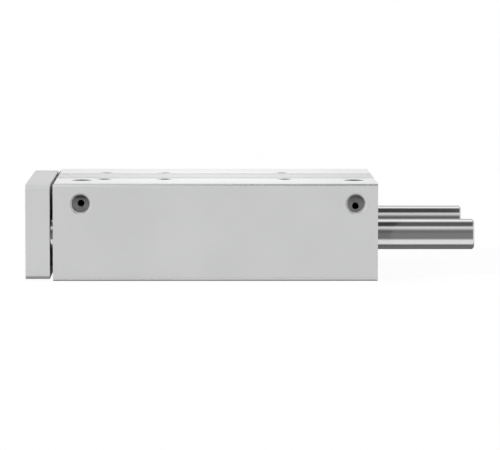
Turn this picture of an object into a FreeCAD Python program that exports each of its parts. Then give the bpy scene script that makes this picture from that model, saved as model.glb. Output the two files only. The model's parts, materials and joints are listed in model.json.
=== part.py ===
import FreeCAD, Part
import os
import re
import Sketcher
from FreeCAD import Rotation, Vector

# Guided pneumatic cylinder: a ported aluminium housing holds one piston between two guide rods that run
# in ball bushes, and the piston rod pushes a yoke plate out at the front.
# Millimetres. The origin is the centre of the housing's bottom face. +X points to the rear, where the
# guide rods stand out, the ported side faces -Y and +Z is up. Near means the ported side.
# The carriage is drawn with the piston fully back.

doc = FreeCAD.newDocument("guided_cylinder")
dims = doc.addObject("Spreadsheet::Sheet", "dims")
layout = doc.addObject("Spreadsheet::Sheet", "layout")

# Driving dimensions: alias, value, what it is
driving = [
    ("bore_d", 50, "piston bore"),
    ("stroke", 125, "travel of the piston"),
    ("rod_d", 20, "piston rod"),
    ("guide_d", 20, "guide rods"),
    ("guide_inset", 17, "guide rod axes from the sides of the housing"),
    ("axis_drop", 2.5, "all three rod axes below the middle of the housing"),
    ("housing_width", 148, "across the ports"),
    ("housing_height", 64, "bottom face to top face"),
    ("edge_radius", 2.5, "long edges of the housing"),
    ("mouth_chamfer", 0.5, "at the mouths of the three bores"),
    ("front_cap_depth", 34, "front face to the inner end of the front cap"),
    ("rear_cap_depth", 17.2, "rear face to the inner end of the rear cap"),
    ("seat_step", 1, "cap seats over the piston bore, radial"),
    ("front_flange_length", 11, "front cap in its seat"),
    ("rear_flange_length", 7.4, "rear cap in its seat"),
    ("front_annulus", 3, "air space round the nose of the front cap"),
    ("rear_annulus", 5, "air space round the spigot of the rear cap"),
    ("ring_inset", 1.8, "cap retaining ring behind the end face"),
    ("cap_ring_thickness", 2, "cap retaining rings"),
    ("cap_ring_bite", 1.5, "groove of the cap retaining rings, radial"),
    ("cap_ring_width", 4, "cap retaining rings opposite the gap, radial"),
    ("cap_ring_lug", 2.7, "lug radius of the cap retaining rings"),
    ("cap_ring_hole", 1.25, "plier hole radius of the cap retaining rings"),
    ("ring_gap_turn", 20, "half the gap of a retaining ring, degrees"),
    ("ring_lean_share", 0.2, "shift of a retaining ring's inner edge as a share of its width"),
    ("ring_play", 0.1, "a retaining ring in its groove, each side"),
    ("cap_seal_d", 2.6, "section of the cap O-rings"),
    ("cap_seal_slot", 3.4, "groove of the cap O-rings"),
    ("cap_seal_inset", 2.2, "flange end to the O-ring groove"),
    ("cap_clearance", 0.03, "caps in their seats, radial"),
    ("rear_recess", 1.5, "dished outer face of the rear cap"),
    ("rear_rim", 6, "rim round the dished face"),
    ("bumper_thickness", 3, "end bumpers"),
    ("bumper_margin", 1, "bumpers inside the rim they sit on"),
    ("stop_clearance", 0.2, "piston to bumper at each end of the travel"),
    ("rod_lip", 1.5, "front wall of the rod seal groove"),
    ("rod_gap", 0.3, "front cap round the piston rod, radial"),
    ("rod_seal_length", 6, "rod seal"),
    ("rod_seal_height", 4, "rod seal, radial"),
    ("rod_seal_wall", 2, "front cap between seal and bush"),
    ("rod_bush_length", 17, "piston rod bush"),
    ("rod_bush_wall", 1.5, "piston rod bush"),
    ("running_clearance", 0.04, "bushes, seals and balls on their rods, radial"),
    ("seat_clearance", 0.02, "pieces pressed or laid in their seats"),
    ("lip_share", 0.25, "lips of a seal as a share of its height"),
    ("notch_share", 0.16, "floor of a seal's notch as a share of its height"),
    ("notch_depth_share", 0.55, "depth of a seal's notch as a share of its length"),
    ("piston_length", 30, "both halves together"),
    ("piston_clearance", 0.25, "piston in the bore, radial"),
    ("piston_chamfer", 1, "ends of the piston"),
    ("piston_seal_inset", 3, "piston end to the seal groove"),
    ("piston_seal_length", 5, "piston seal groove"),
    ("piston_seal_height", 5, "piston seals, radial"),
    ("wear_band_length", 9, "wear band"),
    ("wear_band_thickness", 2.5, "wear band"),
    ("magnet_length", 6, "magnet ring"),
    ("magnet_height", 5, "magnet ring, radial"),
    ("spigot_d", 12, "rod end through the piston"),
    ("nut_width", 19, "piston nut across the flats"),
    ("nut_height", 8, "piston nut"),
    ("nut_room", 1.5, "recess round and behind the piston nut"),
    ("bush_wall", 4, "ball bushes, radial"),
    ("bush_length", 30, "ball bushes"),
    ("bush_lip", 1, "turned-in ends of the bush sleeves"),
    ("spacer_length", 40, "tube between the two bushes of a rod"),
    ("spacer_wall", 1.8, "same tube"),
    ("ball_d", 3.175, "bearing balls"),
    ("ball_pitch", 4.4, "balls along a track"),
    ("track_length", 20, "slots in the ball cages"),
    ("track_play", 0.2, "slots wider than the balls"),
    ("cage_gap", 0.3, "ball cages round the guide rods, radial"),
    ("wiper_length", 5, "guide wipers"),
    ("guide_ring_inset", 1.5, "guide retaining ring behind the front face"),
    ("guide_ring_thickness", 1.2, "guide retaining rings"),
    ("guide_ring_bite", 0.8, "groove of the guide retaining rings, radial"),
    ("guide_ring_width", 2.6, "guide retaining rings opposite the gap, radial"),
    ("guide_ring_lug", 1.7, "lug radius of the guide retaining rings"),
    ("guide_ring_hole", 0.85, "plier hole radius of the guide retaining rings"),
    ("guide_room", 1, "rear of the housing round the guide rods, radial"),
    ("rod_overhang", 63.9, "guide rods behind the rear face"),
    ("rod_chamfer", 0.95, "ends of the rods"),
    ("centre_r", 2, "centre drilling in the rear ends of the guide rods"),
    ("centre_slope", 1.73, "centre drilling, depth over radius"),
    ("drill_slope", 0.6, "drill points, depth over radius"),
    ("port_d", 13.157, "supply ports, outside of the thread"),
    ("port_depth", 11, "side ports"),
    ("port_chamfer", 0.5, "side ports, and the plugs of the top ports"),
    ("port_land", 0.5, "side ports above the tops of the guide bores"),
    ("front_port_inset", 18.1, "front ports behind the front face"),
    ("rear_port_inset", 14.3, "rear ports before the rear face"),
    ("passage_d", 4.4, "air passages from port to bore"),
    ("riser_d", 3.4, "drillings from the top ports down to the passages"),
    ("rear_passage_drop", 2.5, "rear passage below its port axis"),
    ("top_port_offset", 41, "top ports from the middle plane"),
    ("top_port_depth", 12, "top ports"),
    ("top_port_chamfer", 0.25, "top ports"),
    ("plug_length", 8, "top port plugs"),
    ("plug_recess", 0.8, "top port plugs below the top face"),
    ("plug_hex", 6, "top port plugs across the flats"),
    ("plug_hex_depth", 5, "top port plugs"),
    ("mount_hole_d", 10, "mounting threads, outside diameter"),
    ("mount_hole_depth", 18, "mounting threads"),
    ("mount_sink_d", 10.3, "countersink of the mounting threads"),
    ("mount_core_d", 8.5, "through holes that join the mounting threads"),
    ("mount_row_pitch", 64, "between the two rows of mounting threads"),
    ("mount_first", 32.8, "front face to the first mounting threads"),
    ("mount_short_pitch", 40, "first to second mounting threads"),
    ("mount_long_pitch", 80, "second to third mounting threads"),
    ("slot_offset", 19, "sensor slots from the middle plane"),
    ("slot_mouth", 5.2, "sensor slots at the top face"),
    ("slot_lip", 1.8, "lips of the sensor slots"),
    ("slot_width", 6.6, "sensor slots under the lips"),
    ("slot_depth", 6, "sensor slots"),
    ("yoke_thickness", 16, "yoke plate"),
    ("yoke_side_step", 2.5, "yoke plate inside the sides of the housing"),
    ("yoke_height", 62, "yoke plate"),
    ("yoke_gap", 2.1, "yoke plate to the housing with the piston back"),
    ("yoke_chamfer", 2.2, "long corners of the yoke plate"),
    ("edge_break", 0.15, "face outlines of the yoke plate"),
    ("rod_seat_depth", 1, "rods let into the yoke plate"),
    ("load_hole_d", 8, "load threads in the yoke, outside diameter"),
    ("load_sink_d", 9, "countersink of the load threads"),
    ("load_pitch_across", 66, "load threads across"),
    ("load_pitch_up", 40, "load threads up and down"),
    ("guide_screw_d", 8, "guide rod screws"),
    ("guide_head_d", 13, "guide rod screw heads"),
    ("guide_head_height", 8, "guide rod screw heads"),
    ("guide_screw_hex", 6, "guide rod screws across the flats"),
    ("guide_screw_reach", 18, "guide rod screws in the rods"),
    ("rod_screw_d", 10, "piston rod screw"),
    ("rod_head_d", 16, "piston rod screw head"),
    ("rod_head_height", 10, "piston rod screw head"),
    ("rod_screw_hex", 8, "piston rod screw across the flats"),
    ("rod_screw_reach", 20, "piston rod screw in the rod"),
    ("head_room", 1, "counterbores round the screw heads, radial"),
    ("head_recess", 0.5, "screw heads below the yoke's front face"),
    ("shank_room", 0.4, "yoke round the screw shanks, radial"),
    ("tap_room", 3, "threaded holes in the rods beyond the screws"),
    ("socket_share", 0.5, "depth of a screw's hexagon as a share of its head"),
]

# Sizes and stations that follow from the driving dimensions
worked_out = [
    ("housing_length", "front_cap_depth + rear_cap_depth + piston_length + stroke"
                       " + 2 * bumper_thickness + 2 * stop_clearance"),
    ("front_face", "0 - housing_length / 2"),
    ("rear_face", "housing_length / 2"),
    ("half_width", "housing_width / 2"),
    ("axis_height", "housing_height / 2 - axis_drop"),
    ("bore_r", "bore_d / 2"),
    ("seat_r", "bore_r + seat_step"),
    ("ring_slot", "cap_ring_thickness + 2 * ring_play"),
    ("ring_groove_r", "seat_r + cap_ring_bite"),
    ("front_groove", "front_face + ring_inset"),
    ("front_cap_start", "front_groove + ring_slot"),
    ("front_shoulder", "front_cap_start + front_flange_length"),
    ("front_cap_end", "front_face + front_cap_depth"),
    ("front_cap_length", "front_cap_end - front_cap_start"),
    ("rear_groove", "rear_face - ring_inset"),
    ("rear_cap_end", "rear_groove - ring_slot"),
    ("rear_shoulder", "rear_cap_end - rear_flange_length"),
    ("rear_cap_start", "rear_face - rear_cap_depth"),
    ("rear_cap_length", "rear_cap_end - rear_cap_start"),
    ("flange_r", "seat_r - cap_clearance"),
    ("nose_r", "bore_r - front_annulus"),
    ("rear_spigot_r", "bore_r - rear_annulus"),
    ("cap_seal_r", "seat_r - seat_clearance - cap_seal_d / 2"),
    ("cap_seal_floor", "cap_seal_r - cap_seal_d / 2 - seat_clearance"),
    ("rod_r", "rod_d / 2"),
    ("rod_seal_start", "rod_lip"),
    ("rod_seal_end", "rod_seal_start + rod_seal_length + 2 * seat_clearance"),
    ("rod_seal_r", "rod_r + rod_seal_height"),
    ("rod_bush_start", "rod_seal_end + rod_seal_wall"),
    ("rod_bush_r", "rod_r + rod_bush_wall"),
    ("piston_start", "rear_cap_start - bumper_thickness - stop_clearance - piston_length"),
    ("piston_half", "piston_length / 2"),
    ("piston_r", "bore_r - piston_clearance"),
    ("piston_seal_r", "bore_r - piston_seal_height"),
    ("piston_seal_end", "piston_seal_inset + piston_seal_length"),
    ("wear_band_r", "bore_r - wear_band_thickness"),
    ("magnet_r", "wear_band_r - magnet_height"),
    ("spigot_r", "spigot_d / 2"),
    ("spigot_hole_r", "spigot_r + seat_clearance"),
    ("nut_corner_r", "nut_width / sqrt(3)"),
    ("nut_recess_r", "nut_corner_r + nut_room"),
    ("nut_start", "piston_length - nut_height - nut_room"),
    ("rod_length", "piston_start - rod_start"),
    ("guide_r", "guide_d / 2"),
    ("guide_offset", "half_width - guide_inset"),
    ("bush_r", "guide_r + bush_wall"),
    ("guide_groove", "front_face + guide_ring_inset"),
    ("guide_groove_r", "bush_r + guide_ring_bite"),
    ("wiper_start", "guide_groove + guide_ring_thickness + 2 * ring_play"),
    ("front_bush_start", "wiper_start + wiper_length"),
    ("spacer_start", "front_bush_start + bush_length"),
    ("rear_bush_start", "spacer_start + spacer_length"),
    ("bush_end", "rear_bush_start + bush_length"),
    ("guide_room_r", "guide_r + guide_room"),
    ("ball_circle_r", "guide_r + running_clearance + ball_d / 2"),
    ("sleeve_bore_r", "ball_circle_r + ball_d / 2 + seat_clearance"),
    ("cage_r", "sleeve_bore_r - seat_clearance"),
    ("cage_bore_r", "guide_r + cage_gap"),
    ("cage_length", "bush_length - 2 * bush_lip - 2 * seat_clearance"),
    ("guide_rod_length", "rear_face + rod_overhang - rod_start"),
    ("port_r", "port_d / 2"),
    ("port_tip", "port_r * drill_slope"),
    ("port_height", "axis_height + bush_r + port_r + port_land"),
    ("front_port", "front_face + front_port_inset"),
    ("rear_port", "rear_face - rear_port_inset"),
    ("passage_r", "passage_d / 2"),
    ("front_passage_height", "port_height"),
    ("rear_passage_height", "port_height - rear_passage_drop"),
    ("mount_row", "mount_row_pitch / 2"),
    ("mount_front", "front_face + mount_first"),
    ("mount_middle", "mount_front + mount_short_pitch"),
    ("mount_rear", "mount_middle + mount_long_pitch"),
    ("yoke_back", "front_face - yoke_gap"),
    ("yoke_front", "yoke_back - yoke_thickness"),
    ("yoke_width", "housing_width - 2 * yoke_side_step"),
    ("yoke_middle", "housing_height / 2"),
    ("yoke_axis", "axis_height - yoke_middle"),
    ("rod_start", "yoke_back - rod_seat_depth"),
    ("head_start", "yoke_front + head_recess"),
    ("guide_counterbore", "guide_head_height + head_recess"),
    ("rod_counterbore", "rod_head_height + head_recess"),
    ("guide_shank", "yoke_thickness - guide_counterbore - rod_seat_depth + guide_screw_reach"),
    ("rod_shank", "yoke_thickness - rod_counterbore - rod_seat_depth + rod_screw_reach"),
]

sides = {"near": "0 - guide_offset", "far": "guide_offset"}
ball_tracks = 5
balls_per_track = 4
hair = 0.01
parts = []
sheet_of = {}


def bind(text, home=""):
    """The expression with each alias led by the name of its sheet, unless that is its home."""
    def lead(word):
        sheet = sheet_of.get(word[0], home)
        return word[0] if sheet == home else f"{sheet}.{word[0]}"
    return re.sub(r"[a-z_]+", lead, text)


def fill(sheet, rows):
    """One row of a sheet for each alias: its name, and its number or formula."""
    for row, (alias, content) in enumerate(rows, start=1):
        sheet.set(f"A{row}", alias)
        sheet.set(f"B{row}", content)
        sheet.setAlias(f"B{row}", alias)


for alias, value, note in driving:
    sheet_of[alias] = "dims"
for alias, formula in worked_out:
    sheet_of[alias] = "layout"
fill(dims, [(alias, str(value)) for alias, value, note in driving])
fill(layout, [(alias, "=" + bind(formula, "layout")) for alias, formula in worked_out])
for row, (alias, value, note) in enumerate(driving, start=1):
    dims.set(f"C{row}", note)
doc.recompute()


def value_of(text):
    return float(dims.evalExpression(bind(text)))


def set_size(owner, size, text):
    owner.setExpression(size, bind(text))


def set_place(owner, x, y, z):
    for axis, text in zip("xyz", (x, y, z)):
        set_size(owner, f"Placement.Base.{axis}", text)


def new_body(label):
    body = doc.addObject("PartDesign::Body", label)
    body.Label = label
    parts.append(body)
    return body


def new_sketch(body, name, role, x="0", y="0", z="0"):
    """A sketch on one of the body's own origin planes, shifted in that plane's frame."""
    sketch = body.newObject("Sketcher::SketchObject", f"{body.Label}_{name}")
    plane = next(feature for feature in body.Origin.OriginFeatures if feature.Role == role)
    sketch.AttachmentSupport = (plane, [""])
    sketch.MapMode = "FlatFace"
    for axis, text in zip("xyz", (x, y, z)):
        set_size(sketch, f"AttachmentOffset.Base.{axis}", text)
    return sketch


def tie(sketch, constraint, text):
    index = sketch.addConstraint(constraint)
    set_size(sketch, f"Constraints[{index}]", text)


def pin(sketch, piece, point, across, up):
    """Ties one point to the sketch's axes. A plain 0 puts it on the axis itself."""
    for kind, axis, text in (("DistanceX", -2, across), ("DistanceY", -1, up)):
        if text == "0":
            sketch.addConstraint(Sketcher.Constraint("PointOnObject", piece, point, axis))
        else:
            tie(sketch, Sketcher.Constraint(kind, -1, 1, piece, point, value_of(text)), text)


def outline(sketch, corners):
    """A closed outline through the corners, each given as (across, up)."""
    points = [Vector(value_of(across), value_of(up), 0) for across, up in corners]
    count = len(corners)
    first = sketch.GeometryCount
    for i in range(count):
        sketch.addGeometry(Part.LineSegment(points[i], points[(i + 1) % count]))
    for i, (across, up) in enumerate(corners):
        follower = first + (i + 1) % count
        sketch.addConstraint(Sketcher.Constraint("Coincident", first + i, 2, follower, 1))
        pin(sketch, first + i, 1, across, up)


def circle(sketch, across, up, radius):
    middle = Vector(value_of(across), value_of(up), 0)
    piece = sketch.addGeometry(Part.Circle(middle, Vector(0, 0, 1), value_of(radius)))
    pin(sketch, piece, 3, across, up)
    tie(sketch, Sketcher.Constraint("Radius", piece, value_of(radius)), radius)


def hexagon(sketch, width):
    """A hexagon about the sketch's origin, given across its flats."""
    corner = f"{width} / sqrt(3)"
    half = f"{corner} / 2"
    flat = f"{width} / 2"
    outline(sketch, [
        (corner, "0"), (half, flat), (f"0 - {half}", flat),
        (f"0 - {corner}", "0"), (f"0 - {half}", f"0 - {flat}"), (half, f"0 - {flat}"),
    ])


def spin(body, sketch, kind, axis):
    """Revolution or Groove of a sketch about one of its own axes."""
    feature = body.newObject(f"PartDesign::{kind}", f"{sketch.Label}_spin")
    feature.Profile = sketch
    feature.ReferenceAxis = (sketch, [axis])
    feature.Angle = 360


def extrude(body, sketch, kind, length, flip=False):
    """Pad or Pocket of a sketch. A Pad goes along the sketch's normal, a Pocket against it."""
    feature = body.newObject(f"PartDesign::{kind}", f"{sketch.Label}_extrude")
    feature.Profile = sketch
    feature.Reversed = flip
    set_size(feature, "Length", length)
    return feature


def drill(body, sketch, diameter, sink_d, depth, flip=False):
    """Countersunk holes at the circles of a sketch."""
    doc.recompute()
    hole = body.newObject("PartDesign::Hole", f"{sketch.Label}_drill")
    hole.Profile = sketch
    hole.Reversed = flip
    hole.DepthType = "Dimension"
    hole.DrillPoint = "Flat"
    hole.HoleCutType = "Countersink"
    hole.HoleCutCountersinkAngle = 90
    set_size(hole, "Diameter", diameter)
    set_size(hole, "HoleCutDiameter", sink_d)
    set_size(hole, "Depth", depth)


def turned(label, corners, x, y="0", z="axis_height"):
    """A piece turned about X from an outline of (along, radius) corners."""
    body = new_body(label)
    sketch = new_sketch(body, "profile", "XY_Plane")
    outline(sketch, corners)
    spin(body, sketch, "Revolution", "H_Axis")
    set_place(body, x, y, z)
    return body


def tube(label, length, inner, outer, x, y="0"):
    """A plain turned ring or tube."""
    return turned(label, [("0", inner), (length, inner), (length, outer), ("0", outer)], x, y)


# Housing: extruded block with bores, ports, passages, mounting threads and sensor slots
def slot_corners(middle):
    """T-shaped sensor slot in the top face, from its +Y lip round to its -Y lip."""
    lip = "housing_height - slot_lip"
    floor = "housing_height - slot_depth"
    right_lip = f"{middle} + slot_mouth / 2"
    right_wall = f"{middle} + slot_width / 2"
    left_wall = f"{middle} - slot_width / 2"
    left_lip = f"{middle} - slot_mouth / 2"
    return [
        (right_lip, "housing_height"), (right_lip, lip), (right_wall, lip), (right_wall, floor),
        (left_wall, floor), (left_wall, lip), (left_lip, lip), (left_lip, "housing_height"),
    ]


def housing_bore(body, name, offset, corners):
    """A stepped bore along X, cut by an outline of (along, radius) corners."""
    sketch = new_sketch(body, name, "XY_Plane", "0", offset, "axis_height")
    outline(sketch, corners)
    spin(body, sketch, "Groove", "H_Axis")


def mouth(face, outward, radius):
    """Two corners of a chamfered bore mouth, the first of them outside the block."""
    return [
        (f"{face} {outward} mouth_chamfer", f"{radius} + 2 * mouth_chamfer"),
        (f"{face} {'+' if outward == '-' else '-'} mouth_chamfer", radius),
    ]


def ring_groove(start, end, radius, floor):
    return [(start, radius), (start, floor), (end, floor), (end, radius)]


def side_port(body, name, along, passage_height):
    """A threaded port in the near side and the passage from it to the piston bore."""
    face = "0 - half_width"
    floor = f"{face} + port_depth"
    port = new_sketch(body, f"{name}_side_port", "XY_Plane", along, "0", "port_height")
    outline(port, [
        ("0", f"{face} - port_chamfer"), ("port_r + 2 * port_chamfer", f"{face} - port_chamfer"),
        ("port_r", f"{face} + port_chamfer"), ("port_r", floor), ("0", f"{floor} + port_tip"),
    ])
    spin(body, port, "Groove", "V_Axis")
    reach = f"passage_d - sqrt(bore_r ^ 2 - ({passage_height} - axis_height) ^ 2)"
    passage = new_sketch(body, f"{name}_passage", "XY_Plane", along, "0", passage_height)
    outline(passage, [("0", floor), ("passage_r", floor), ("passage_r", reach), ("0", reach)])
    spin(body, passage, "Groove", "V_Axis")


def top_port(body, name, along, passage_height):
    """A threaded port in the top face with a riser that opens into the passage below."""
    floor = "housing_height - top_port_depth"
    port = new_sketch(body, f"{name}_top_port", "XZ_Plane", along, "0", "top_port_offset")
    outline(port, [
        ("0", "housing_height + top_port_chamfer"),
        ("port_r + 2 * top_port_chamfer", "housing_height + top_port_chamfer"),
        ("port_r", "housing_height - top_port_chamfer"), ("port_r", floor), ("0", f"{floor} - port_tip"),
    ])
    spin(body, port, "Groove", "V_Axis")
    riser = new_sketch(body, f"{name}_riser", "XZ_Plane", along, "0", "top_port_offset")
    outline(riser, [
        ("0", "housing_height"), ("riser_d / 2", "housing_height"),
        ("riser_d / 2", passage_height), ("0", passage_height),
    ])
    spin(body, riser, "Groove", "V_Axis")


def mounting_circles(sketch, radius):
    """Two rows of three mounting holes."""
    for along in ("mount_front", "mount_middle", "mount_rear"):
        for across in ("mount_row", "0 - mount_row"):
            circle(sketch, along, across, radius)


def mounting_threads(body, name, height, flip):
    """The mounting threads of the top or bottom face."""
    sketch = new_sketch(body, name, "XY_Plane", "0", "0", height)
    mounting_circles(sketch, "mount_hole_d / 2")
    drill(body, sketch, "mount_hole_d", "mount_sink_d", "mount_hole_depth", flip)


def make_housing():
    body = new_body("housing")
    section = new_sketch(body, "section", "YZ_Plane", "0", "0", "front_face")
    outline(section, [
        ("0 - half_width", "0"), ("half_width", "0"), ("half_width", "housing_height"),
        *slot_corners("slot_offset"), *slot_corners("0 - slot_offset"),
        ("0 - half_width", "housing_height"),
    ])
    block = extrude(body, section, "Pad", "housing_length")
    doc.recompute()
    side = value_of("half_width")
    corners = [
        f"Edge{number}" for number, edge in enumerate(block.Shape.Edges, start=1)
        if edge.BoundBox.XLength > side and abs(abs(edge.BoundBox.Center.y) - side) < hair
    ]
    rounding = body.newObject("PartDesign::Fillet", "housing_long_edges")
    rounding.Base = (block, corners)
    set_size(rounding, "Radius", "edge_radius")
    housing_bore(body, "piston_bore", "0", [
        ("front_face - mouth_chamfer", "0"), *mouth("front_face", "-", "seat_r"),
        *ring_groove("front_groove", "front_cap_start", "seat_r", "ring_groove_r"),
        ("front_shoulder", "seat_r"), ("front_shoulder", "bore_r"),
        ("rear_shoulder", "bore_r"), ("rear_shoulder", "seat_r"),
        *ring_groove("rear_cap_end", "rear_groove", "seat_r", "ring_groove_r"),
        *reversed(mouth("rear_face", "+", "seat_r")), ("rear_face + mouth_chamfer", "0"),
    ])
    for side_name, offset in sides.items():
        housing_bore(body, f"{side_name}_guide_bore", offset, [
            ("front_face - mouth_chamfer", "0"), *mouth("front_face", "-", "bush_r"),
            *ring_groove("guide_groove", "wiper_start", "bush_r", "guide_groove_r"),
            ("bush_end", "bush_r"), ("bush_end", "guide_room_r"),
            *reversed(mouth("rear_face", "+", "guide_room_r")), ("rear_face + mouth_chamfer", "0"),
        ])
    for end in ("front", "rear"):
        side_port(body, end, f"{end}_port", f"{end}_passage_height")
        top_port(body, end, f"{end}_port", f"{end}_passage_height")
    mounting_threads(body, "top_threads", "housing_height", False)
    mounting_threads(body, "bottom_threads", "0", True)
    cores = new_sketch(body, "thread_cores", "XY_Plane", "0", "0", "housing_height")
    mounting_circles(cores, "mount_core_d / 2")
    extrude(body, cores, "Pocket", "housing_height")


# Caps that close the piston bore, with their seals, rings and bumpers
def seal_groove(start):
    end = f"{start} + cap_seal_slot"
    return [(start, "flange_r"), (start, "cap_seal_floor"), (end, "cap_seal_floor"), (end, "flange_r")]


def o_ring(label, x):
    body = new_body(label)
    sketch = new_sketch(body, "section", "XY_Plane")
    circle(sketch, "0", "cap_seal_r", "cap_seal_d / 2")
    spin(body, sketch, "Revolution", "H_Axis")
    set_place(body, x, "0", "axis_height")


def retaining_ring(label, name, bore, x, y="0"):
    """A snap ring that thins towards its gap, with two plier lugs. The gap is at the top."""
    body = new_body(label)
    outer = f"{bore} + {name}_bite - seat_clearance"
    lean = f"{name}_width * ring_lean_share"
    inner = f"{outer} - {name}_width + {lean}"
    blank = new_sketch(body, "blank", "YZ_Plane")
    circle(blank, "0", "0", outer)
    circle(blank, "0", lean, inner)
    thickness = f"{name}_thickness"
    extrude(body, blank, "Pad", thickness)
    gap = new_sketch(body, "gap", "YZ_Plane")
    reach = f"2 * ({outer})"
    turn = "ring_gap_turn * 1 deg"
    spread = f"{reach} * tan({turn})"
    outline(gap, [("0", "0"), (spread, reach), (f"0 - {spread}", reach)])
    extrude(body, gap, "Pocket", thickness, flip=True)
    lug_circle = f"({outer} - {name}_lug - {name}_bite)"
    lugs = new_sketch(body, "lugs", "YZ_Plane")
    holes = new_sketch(body, "plier_holes", "YZ_Plane")
    for sign in ("", "0 - "):
        across = f"{sign}{lug_circle} * sin({turn})"
        up = f"{lug_circle} * cos({turn})"
        circle(lugs, across, up, f"{name}_lug")
        circle(holes, across, up, f"{name}_hole")
    extrude(body, lugs, "Pad", thickness)
    extrude(body, holes, "Pocket", thickness, flip=True)
    set_place(body, x, y, "axis_height")


def make_front_end():
    bush_mouth = "front_cap_length - mouth_chamfer"
    turned("front_cap", [
        ("0", "rod_r + rod_gap"), ("0", "flange_r - mouth_chamfer"), ("mouth_chamfer", "flange_r"),
        *seal_groove("cap_seal_inset"),
        ("front_flange_length", "flange_r"), ("front_flange_length", "nose_r"),
        ("front_cap_length", "nose_r"), ("front_cap_length", "rod_bush_r + mouth_chamfer"),
        (bush_mouth, "rod_bush_r"), ("rod_bush_start", "rod_bush_r"),
        ("rod_bush_start", "rod_r + rod_gap"), ("rod_seal_end", "rod_r + rod_gap"),
        ("rod_seal_end", "rod_seal_r"), ("rod_seal_start", "rod_seal_r"),
        ("rod_seal_start", "rod_r + rod_gap"),
    ], "front_cap_start")
    o_ring("front_cap_o_ring", "front_cap_start + cap_seal_inset + cap_seal_slot / 2")
    tube("rod_bush", "rod_bush_length", "rod_r + running_clearance", "rod_bush_r - seat_clearance",
         "front_cap_start + rod_bush_start")
    lip_seal("rod_seal", "rod_r + running_clearance", "rod_seal_r - seat_clearance", "rod_seal_length",
             "front_cap_start + rod_seal_start + seat_clearance")
    retaining_ring("front_retaining_ring", "cap_ring", "seat_r", "front_groove + ring_play")
    tube("front_bumper", "bumper_thickness", "rod_bush_r + bumper_margin", "nose_r - bumper_margin",
         "front_cap_end")


def make_rear_end():
    rim_r = "flange_r - rear_rim"
    turned("rear_cap", [
        ("0", "0"), ("0", "rear_spigot_r"), ("rear_cap_length - rear_flange_length", "rear_spigot_r"),
        ("rear_cap_length - rear_flange_length", "flange_r"),
        *seal_groove("rear_cap_length - cap_seal_inset - cap_seal_slot"),
        ("rear_cap_length - mouth_chamfer", "flange_r"), ("rear_cap_length", "flange_r - mouth_chamfer"),
        ("rear_cap_length", rim_r), ("rear_cap_length - rear_recess", f"{rim_r} - rear_recess"),
        ("rear_cap_length - rear_recess", "0"),
    ], "rear_cap_start")
    o_ring("rear_cap_o_ring", "rear_cap_end - cap_seal_inset - cap_seal_slot / 2")
    retaining_ring("rear_retaining_ring", "cap_ring", "seat_r", "rear_cap_end + ring_play")
    tube("rear_bumper", "bumper_thickness", "nut_recess_r + bumper_margin",
         "rear_spigot_r - bumper_margin", "rear_cap_start - bumper_thickness")


def lip_seal(label, inner, outer, length, x, y="0"):
    """A ring with a U-shaped notch in its rear face, so that pressure spreads its two lips."""
    height = f"({outer} - ({inner}))"
    lip = f"lip_share * {height}"
    middle = f"({outer} + {inner}) / 2"
    half_floor = f"notch_share * {height} / 2"
    floor = f"({length}) * (1 - notch_depth_share)"
    return turned(label, [
        ("0", inner), (length, inner), (length, f"{inner} + {lip}"),
        (floor, f"{middle} - {half_floor}"), (floor, f"{middle} + {half_floor}"),
        (length, f"{outer} - {lip}"), (length, outer), ("0", outer),
    ], x, y)


# Ball bushes, wipers and rings of the guide rods
def ball_bush(name, x, y):
    lip_r = "cage_bore_r"
    far_lip = "bush_length - bush_lip"
    outer = "bush_r - seat_clearance"
    turned(f"{name}_bush_sleeve", [
        ("0", lip_r), ("bush_lip", lip_r), ("bush_lip", "sleeve_bore_r"), (far_lip, "sleeve_bore_r"),
        (far_lip, lip_r), ("bush_length", lip_r), ("bush_length", f"{outer} - mouth_chamfer"),
        ("bush_length - mouth_chamfer", outer), ("mouth_chamfer", outer),
        ("0", f"{outer} - mouth_chamfer"),
    ], x, y)
    cage = tube(f"{name}_ball_cage", "cage_length", "cage_bore_r", "cage_r",
                f"{x} + bush_lip + seat_clearance", y)
    slot = new_sketch(cage, "track", "XY_Plane", "cage_length / 2")
    half_length = "track_length / 2"
    half_slot = "(ball_d + track_play) / 2"
    outline(slot, [
        (f"0 - {half_length}", f"0 - {half_slot}"), (half_length, f"0 - {half_slot}"),
        (half_length, half_slot), (f"0 - {half_length}", half_slot),
    ])
    cut = extrude(cage, slot, "Pocket", "bush_r", flip=True)
    axis = next(feature for feature in cage.Origin.OriginFeatures if feature.Role == "X_Axis")
    ring = cage.newObject("PartDesign::PolarPattern", f"{name}_tracks")
    ring.Originals = [cut]
    ring.Axis = (axis, [""])
    ring.Angle = 360
    ring.Occurrences = ball_tracks
    cage.Tip = ring


def bush_balls(x, y):
    """The loaded balls of one bush, in rows over the slots of its cage."""
    balls = []
    for track in range(ball_tracks):
        turn = f"{track * 360 / ball_tracks} deg"
        for place in range(balls_per_track):
            ball = doc.addObject("Part::Sphere", "ball")
            set_size(ball, "Radius", "ball_d / 2")
            set_place(
                ball,
                f"{x} + bush_length / 2 + {place - (balls_per_track - 1) / 2} * ball_pitch",
                f"{y} + ball_circle_r * sin({turn})",
                f"axis_height + ball_circle_r * cos({turn})",
            )
            balls.append(ball)
    return balls


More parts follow.
